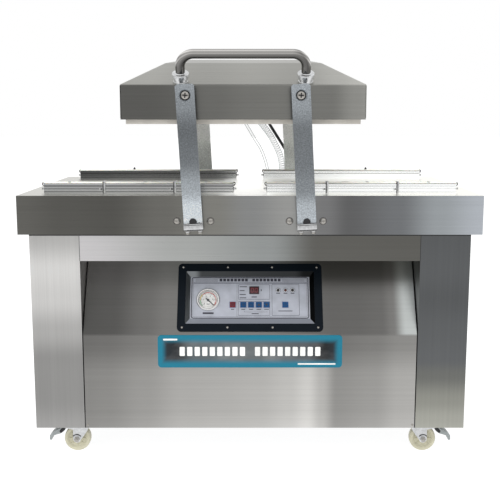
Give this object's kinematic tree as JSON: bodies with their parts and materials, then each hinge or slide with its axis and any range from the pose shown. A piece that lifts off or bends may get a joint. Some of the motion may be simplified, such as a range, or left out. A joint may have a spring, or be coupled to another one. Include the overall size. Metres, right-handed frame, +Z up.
{
  "type": "vacuum chamber sealer",
  "caption": "Wheeled double-chamber vacuum sealer: a hollow lid on parallel arms swings down over either side of a steel table.",
  "frame": {"origin": "on the floor, under the middle of the table", "axes": "+X to the operator's right, +Y to the rear, +Z up; lid raised, arms 3.1 degrees left of upright"},
  "size_m": [1.25, 0.769, 1.127],
  "materials": {
    "brushed_stainless": "fine horizontal brushing, satin",
    "welded_steel": "grey primer",
    "cast_housing": "painted casting",
    "screw_steel": "bright screws",
    "satin_bar": "satin plated, fine dimples",
    "shaft_steel": "ground steel, blackened ends",
    "bright_zinc": "bright zinc plate",
    "profile_aluminium": "extruded, satin",
    "heater_aluminium": "coated heating bar",
    "white_silicone": "soft silicone",
    "black_bezel": "semi-gloss black",
    "membrane": "printed membrane, satin",
    "gauge_steel": "polished rim",
    "needle_black": "matt black",
    "lens": "clear and red lenses",
    "plate_print": "printed plate, teal border",
    "pump_paint": "casting paint",
    "motor_paint": "casting paint",
    "winding_copper": "varnished windings",
    "black_fitting": "moulded fittings",
    "spring_steel": "oiled spring wire",
    "clear_hose": "clear hose",
    "cable_rubber": "black sheath",
    "polished_tube": "polished stainless tube",
    "nylon_wheel": "ivory nylon",
    "pedal_grey": "grey pressed steel",
    "key_red": "printed key",
    "key_blue": "printed key"
  },
  "bodies": {
    "cabinet": {"table_top": "brushed_stainless", "chassis": "welded_steel", "side_panel_left": "brushed_stainless", "side_panel_right": "brushed_stainless", "front_rail": "brushed_stainless", "front_panel": "brushed_stainless", "rear_panel": "brushed_stainless", "caster_plates": "bright_zinc", "bearing_housings": "cast_housing", "fasteners": "screw_steel", "seal_bars": "profile_aluminium", "silicone_strips": "white_silicone", "bezel": "black_bezel", "control_tray": "brushed_stainless", "membrane_panel": "membrane", "gauge_case": "gauge_steel", "panel_lenses": "lens", "name_plate": "plate_print", "vacuum_pump": "pump_paint", "pump_motor": "motor_paint", "transformer": "winding_copper", "valve_block": "profile_aluminium", "rear_fittings": "black_fitting", "balance_springs": "spring_steel", "hose_thin": "clear_hose", "hose_thick": "clear_hose", "lid_cable": "cable_rubber"},
    "left_arms": {"shaft_left": "shaft_steel", "arm_front_left": "satin_bar", "arm_rear_left": "satin_bar", "clamps_left": "bright_zinc"},
    "right_arms": {"shaft_right": "shaft_steel", "arm_front_right": "satin_bar", "arm_rear_right": "satin_bar", "clamps_right": "bright_zinc"},
    "lid": {"lid_shell": "brushed_stainless", "lid_frame": "brushed_stainless", "lid_gasket": "white_silicone", "handle": "polished_tube", "pivot_bolts": "screw_steel", "lid_fittings": "black_fitting"},
    "front_heat_bar": {"heat_bar_front": "heater_aluminium"},
    "rear_heat_bar": {"heat_bar_rear": "heater_aluminium"},
    "caster_front_left": {"fork_front_left": "bright_zinc"},
    "caster_front_right": {"fork_front_right": "bright_zinc"},
    "caster_rear_left": {"fork_rear_left": "bright_zinc"},
    "caster_rear_right": {"fork_rear_right": "bright_zinc"},
    "wheel_front_left": {"wheel_front_left": "nylon_wheel"},
    "wheel_front_right": {"wheel_front_right": "nylon_wheel"},
    "wheel_rear_left": {"wheel_rear_left": "nylon_wheel"},
    "wheel_rear_right": {"wheel_rear_right": "nylon_wheel"},
    "brake_left": {"brake_pedal_left": "pedal_grey"},
    "brake_right": {"brake_pedal_right": "pedal_grey"},
    "key_stop": {"key_stop": "key_red"},
    "key_vacuum": {"key_vacuum": "key_blue"},
    "key_seal": {"key_seal": "key_blue"},
    "key_up": {"key_up": "key_blue"},
    "key_down": {"key_down": "key_blue"},
    "key_power": {"key_power": "key_blue"},
    "needle": {"gauge_needle": "needle_black"}
  },
  "joints": [
    {"name": "lid_swing", "type": "hinge", "parent": "cabinet", "child": "right_arms", "pos_m": [0.151, 0, 0.677], "axis": [0, 1, 0], "range_deg": [-61.38, 67.58], "stiffness_Nm_per_rad": 55, "springref_deg": 2.41, "deforming": ["hose_thin", "hose_thick", "lid_cable"]},
    {"name": "left_swing", "type": "hinge", "parent": "cabinet", "child": "left_arms", "pos_m": [-0.151, 0, 0.677], "axis": [0, 1, 0], "range_deg": [-61.38, 67.58], "stiffness_Nm_per_rad": 55, "springref_deg": 2.41},
    {"name": "lid_level", "type": "hinge", "parent": "right_arms", "child": "lid", "pos_m": [0.13305, 0, 1.00851], "axis": [0, 1, 0], "range_deg": [-67.58, 61.38]},
    {"name": "front_bar_slide", "type": "slide", "parent": "lid", "child": "front_heat_bar", "axis": [0, 0, -1], "range_m": [0, 0.008], "stiffness_N_per_m": 2500, "springref_m": -0.004},
    {"name": "rear_bar_slide", "type": "slide", "parent": "lid", "child": "rear_heat_bar", "axis": [0, 0, -1], "range_m": [0, 0.008], "stiffness_N_per_m": 2500, "springref_m": -0.004},
    {"name": "swivel_front_left", "type": "hinge", "parent": "cabinet", "child": "caster_front_left", "pos_m": [-0.477, -0.258, 0.09], "axis": [0, 0, 1], "continuous": true},
    {"name": "swivel_front_right", "type": "hinge", "parent": "cabinet", "child": "caster_front_right", "pos_m": [0.477, -0.258, 0.09], "axis": [0, 0, 1], "continuous": true},
    {"name": "swivel_rear_left", "type": "hinge", "parent": "cabinet", "child": "caster_rear_left", "pos_m": [-0.477, 0.258, 0.09], "axis": [0, 0, 1], "continuous": true},
    {"name": "swivel_rear_right", "type": "hinge", "parent": "cabinet", "child": "caster_rear_right", "pos_m": [0.477, 0.258, 0.09], "axis": [0, 0, 1], "continuous": true},
    {"name": "roll_front_left", "type": "hinge", "parent": "caster_front_left", "child": "wheel_front_left", "pos_m": [-0.497, -0.258, 0.0375], "axis": [0, 1, 0], "continuous": true},
    {"name": "roll_front_right", "type": "hinge", "parent": "caster_front_right", "child": "wheel_front_right", "pos_m": [0.497, -0.258, 0.0375], "axis": [0, 1, 0], "continuous": true},
    {"name": "roll_rear_left", "type": "hinge", "parent": "caster_rear_left", "child": "wheel_rear_left", "pos_m": [-0.497, 0.258, 0.0375], "axis": [0, 1, 0], "continuous": true},
    {"name": "roll_rear_right", "type": "hinge", "parent": "caster_rear_right", "child": "wheel_rear_right", "pos_m": [0.497, 0.258, 0.0375], "axis": [0, 1, 0], "continuous": true},
    {"name": "brake_tip_left", "type": "hinge", "parent": "caster_front_left", "child": "brake_left", "pos_m": [-0.527, -0.258, 0.077], "axis": [0, -1, 0], "range_deg": [0, 18]},
    {"name": "brake_tip_right", "type": "hinge", "parent": "caster_front_right", "child": "brake_right", "pos_m": [0.527, -0.258, 0.077], "axis": [0, 1, 0], "range_deg": [0, 18]},
    {"name": "key_stop_press", "type": "slide", "parent": "cabinet", "child": "key_stop", "axis": [0, 0.866, -0.5], "range_m": [0, 0.0004], "stiffness_N_per_m": 600, "springref_m": -0.0005},
    {"name": "key_vacuum_press", "type": "slide", "parent": "cabinet", "child": "key_vacuum", "axis": [0, 0.866, -0.5], "range_m": [0, 0.0004], "stiffness_N_per_m": 600, "springref_m": -0.0005},
    {"name": "key_seal_press", "type": "slide", "parent": "cabinet", "child": "key_seal", "axis": [0, 0.866, -0.5], "range_m": [0, 0.0004], "stiffness_N_per_m": 600, "springref_m": -0.0005},
    {"name": "key_up_press", "type": "slide", "parent": "cabinet", "child": "key_up", "axis": [0, 0.866, -0.5], "range_m": [0, 0.0004], "stiffness_N_per_m": 600, "springref_m": -0.0005},
    {"name": "key_down_press", "type": "slide", "parent": "cabinet", "child": "key_down", "axis": [0, 0.866, -0.5], "range_m": [0, 0.0004], "stiffness_N_per_m": 600, "springref_m": -0.0005},
    {"name": "key_power_press", "type": "slide", "parent": "cabinet", "child": "key_power", "axis": [0, 0.866, -0.5], "range_m": [0, 0.0004], "stiffness_N_per_m": 600, "springref_m": -0.0005},
    {"name": "needle_turn", "type": "hinge", "parent": "cabinet", "child": "needle", "pos_m": [-0.119, -0.24078, 0.43743], "axis": [0, -0.866, 0.5], "range_deg": [0, 264], "stiffness_Nm_per_rad": 0.002}
  ],
  "couplings": [
    {"joint": "left_swing", "follows": "lid_swing", "ratio": 1},
    {"joint": "lid_level", "follows": "lid_swing", "ratio": -1}
  ]
}
